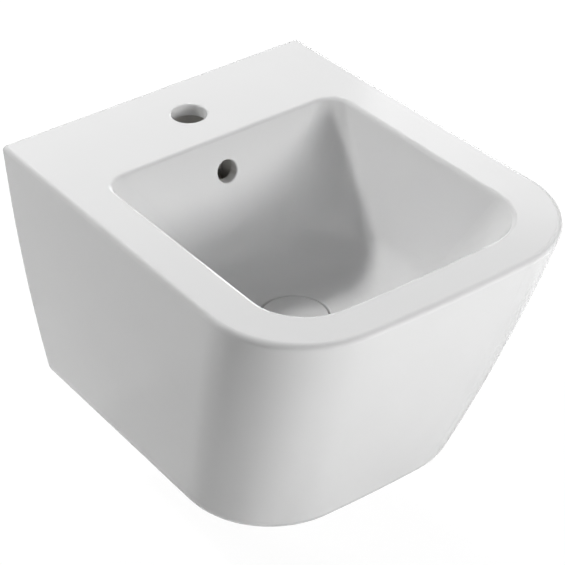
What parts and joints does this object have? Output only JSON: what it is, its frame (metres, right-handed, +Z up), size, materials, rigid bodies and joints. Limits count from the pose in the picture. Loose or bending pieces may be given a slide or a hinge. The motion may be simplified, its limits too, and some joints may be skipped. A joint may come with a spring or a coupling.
{
  "type": "bidet",
  "caption": "Wall-hung bidet: glazed ceramic bowl with a tap hole and overflow, push plug waste, bottle trap and wall studs.",
  "frame": {"origin": "midpoint between the two wall studs, in the plane of the wall face", "axes": "+Y into the wall, +Z up along the tap hole, +X to the right seen from the front"},
  "size_m": [0.3676, 0.5082, 0.325],
  "materials": {
    "glazed_china": "clear gloss glaze over white body",
    "plug_china": "clear gloss glaze",
    "zinc_steel": "zinc plated, satin",
    "spring_steel": "drawn wire, satin",
    "sleeve_plastic": "moulded, matt",
    "soft_seal": "soft, matt",
    "black_rubber": "soft, matt",
    "chromed_brass": "polished plate",
    "plain_brass": "machined",
    "click_plastic": "moulded, satin",
    "trap_plastic": "moulded, semi gloss"
  },
  "bodies": {
    "body": {"ceramic_body": "glazed_china", "fixing_studs": "zinc_steel", "stud_sleeves": "sleeve_plastic", "fixing_washers": "zinc_steel", "fixing_nuts": "zinc_steel", "waste_gasket": "soft_seal", "waste_body": "chromed_brass", "lower_gasket": "black_rubber", "slip_washer": "sleeve_plastic", "back_nut": "plain_brass", "click_spring": "spring_steel", "click_housing": "click_plastic", "guide_cap": "click_plastic", "housing_nut": "plain_brass", "union_nut": "trap_plastic", "inlet_washer": "black_rubber", "trap_body": "trap_plastic", "cup_seal": "black_rubber", "trap_cup": "trap_plastic", "branch_nut": "trap_plastic", "branch_seal": "black_rubber", "outlet_pipe": "trap_plastic", "outlet_sleeve": "black_rubber"},
    "plug": {"plug_cap": "plug_china", "plug_seal": "black_rubber", "plug_stem": "plain_brass", "click_rotor": "click_plastic"}
  },
  "joints": [
    {"name": "plug_lift", "type": "slide", "parent": "body", "child": "plug", "axis": [0, 0, 1], "range_m": [0, 0.008], "deforming": ["click_spring"]}
  ]
}
